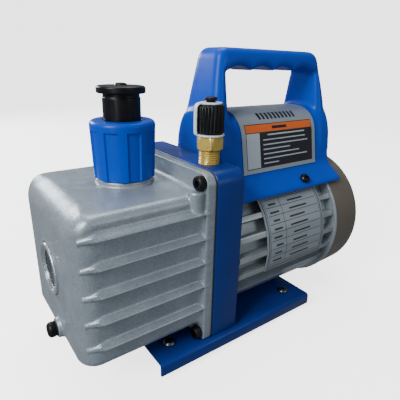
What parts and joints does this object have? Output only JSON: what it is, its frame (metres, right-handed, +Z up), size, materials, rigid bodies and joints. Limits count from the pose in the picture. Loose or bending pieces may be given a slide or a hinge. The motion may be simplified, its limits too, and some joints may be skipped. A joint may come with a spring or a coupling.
{
  "type": "rotary vane vacuum pump",
  "caption": "Portable rotary vane vacuum pump with a ribbed cast oil tank, a fan-cooled motor, a moulded carrying handle and a folded sheet base on rubber feet.",
  "frame": {"origin": "centre of the footprint box, on the plane that the rubber feet stand on", "axes": "+X along the shaft from the oil tank to the fan cover, +Y away from the intake side, +Z up"},
  "size_m": [0.2786, 0.1238, 0.2196],
  "materials": {
    "casting": "silver paint over a sand-cast surface",
    "aluminium": "plain extruded or turned",
    "steel": "turned or ground",
    "black_steel": "black oxide",
    "blue_paint": "glossy paint",
    "blue_plastic": "moulded, glossy",
    "black_plastic": "moulded",
    "rubber": "plain",
    "brass": "turned, slightly dull on the hexagon",
    "taupe_paint": "satin paint",
    "copper": "varnished winding wire",
    "white_plastic": "translucent strap",
    "foil": "silver foil label stock",
    "glass": "clear",
    "felt": "pressed fibre",
    "gasket": "dark gasket sheet"
  },
  "bodies": {
    "casing": {"base_plate": "blue_paint", "rubber_foot_1": "rubber", "rubber_foot_2": "rubber", "rubber_foot_3": "rubber", "rubber_foot_4": "rubber", "foot_screw_1": "steel", "foot_screw_2": "steel", "foot_screw_3": "steel", "foot_screw_4": "steel", "pump_body": "blue_paint", "oil_tank": "casting", "tank_gasket": "gasket", "tank_screw_1": "black_steel", "tank_screw_2": "black_steel", "tank_screw_3": "black_steel", "tank_screw_4": "black_steel", "sight_glass_ring": "aluminium", "sight_glass_lens": "glass", "sight_glass_seal": "rubber", "cylinder_rear_plate": "aluminium", "pump_cylinder": "steel", "cylinder_end_cover": "aluminium", "exhaust_flap_stop": "steel", "shaft_seal": "rubber", "front_bearing": "steel", "rear_bearing": "steel", "stator_core": "steel", "winding_front": "copper", "winding_rear": "copper", "motor_housing": "aluminium", "motor_rear_bracket": "aluminium", "fan_cover": "taupe_paint", "motor_nameplate": "foil", "handle": "blue_plastic", "handle_label": "foil", "handle_screw_1": "black_steel", "handle_screw_2": "black_steel", "run_capacitor": "black_plastic", "switch_frame": "black_plastic", "power_gland": "black_plastic", "intake_fitting": "brass", "intake_cap_strap": "white_plastic"},
    "rotating_shaft": {"pump_rotor": "steel", "vane_spring_a": "steel", "vane_spring_b": "steel", "shaft_coupling": "steel", "motor_shaft": "steel", "motor_rotor_core": "steel", "cooling_fan": "black_plastic"},
    "vane_a": {"vane_a": "black_plastic"},
    "vane_b": {"vane_b": "black_plastic"},
    "exhaust_flap": {"exhaust_flap": "steel"},
    "exhaust_filter": {"exhaust_filter": "felt"},
    "exhaust_cap": {"exhaust_cap": "blue_plastic"},
    "exhaust_plug": {"exhaust_plug": "black_plastic"},
    "intake_cap_seal": {"intake_cap_seal": "rubber"},
    "intake_cap": {"intake_cap": "black_plastic"},
    "drain_seal": {"drain_seal": "rubber"},
    "drain_plug": {"drain_plug": "black_plastic"},
    "switch_rocker": {"switch_rocker": "black_plastic"}
  },
  "joints": [
    {"name": "shaft_spin", "type": "hinge", "parent": "casing", "child": "rotating_shaft", "pos_m": [0, 0, 0.068], "axis": [1, 0, 0], "continuous": true},
    {"name": "vane_a_slide", "type": "slide", "parent": "rotating_shaft", "child": "vane_a", "axis": [0, -1, 0], "range_m": [0, 0.0023]},
    {"name": "vane_b_slide", "type": "slide", "parent": "rotating_shaft", "child": "vane_b", "axis": [0, 1, 0], "range_m": [0, 0.0023]},
    {"name": "exhaust_flap_lift", "type": "hinge", "parent": "casing", "child": "exhaust_flap", "pos_m": [-0.0813, 0.008, 0.0973], "axis": [0, -1, 0], "range_deg": [0, 5], "stiffness_Nm_per_rad": 0.002},
    {"name": "exhaust_cap_lift", "type": "slide", "parent": "casing", "child": "exhaust_filter", "axis": [0, 0, 1], "range_m": [0, 0.0091]},
    {"name": "exhaust_cap_turn", "type": "hinge", "parent": "exhaust_filter", "child": "exhaust_cap", "pos_m": [-0.0733, 0, 0.13], "axis": [0, 0, 1], "range_deg": [0, 1080]},
    {"name": "exhaust_plug_pull", "type": "slide", "parent": "exhaust_cap", "child": "exhaust_plug", "axis": [0, 0, 1], "range_m": [0, 0.03]},
    {"name": "intake_cap_lift", "type": "slide", "parent": "casing", "child": "intake_cap_seal", "axis": [0, 0, 1], "range_m": [0, 0.0077], "deforming": ["intake_cap_strap"]},
    {"name": "intake_cap_turn", "type": "hinge", "parent": "intake_cap_seal", "child": "intake_cap", "pos_m": [-0.0237, -0.032, 0.165], "axis": [0, 0, 1], "range_deg": [0, 2160]},
    {"name": "drain_plug_travel", "type": "slide", "parent": "casing", "child": "drain_seal", "axis": [-1, 0, 0], "range_m": [0, 0.0075]},
    {"name": "drain_plug_turn", "type": "hinge", "parent": "drain_seal", "child": "drain_plug", "pos_m": [-0.1353, -0.0086, 0.0335], "axis": [-1, 0, 0], "range_deg": [0, 1800]},
    {"name": "switch_rock", "type": "hinge", "parent": "casing", "child": "switch_rocker", "pos_m": [0.0397, 0.031, 0.142], "axis": [1, 0, 0], "range_deg": [0, 16]}
  ],
  "couplings": [
    {"joint": "exhaust_cap_lift", "follows": "exhaust_cap_turn", "m_per_rad": 0.00047746},
    {"joint": "intake_cap_lift", "follows": "intake_cap_turn", "m_per_rad": 0.00020213},
    {"joint": "drain_plug_turn", "follows": "drain_plug_travel", "rad_per_m": 4188.8}
  ]
}
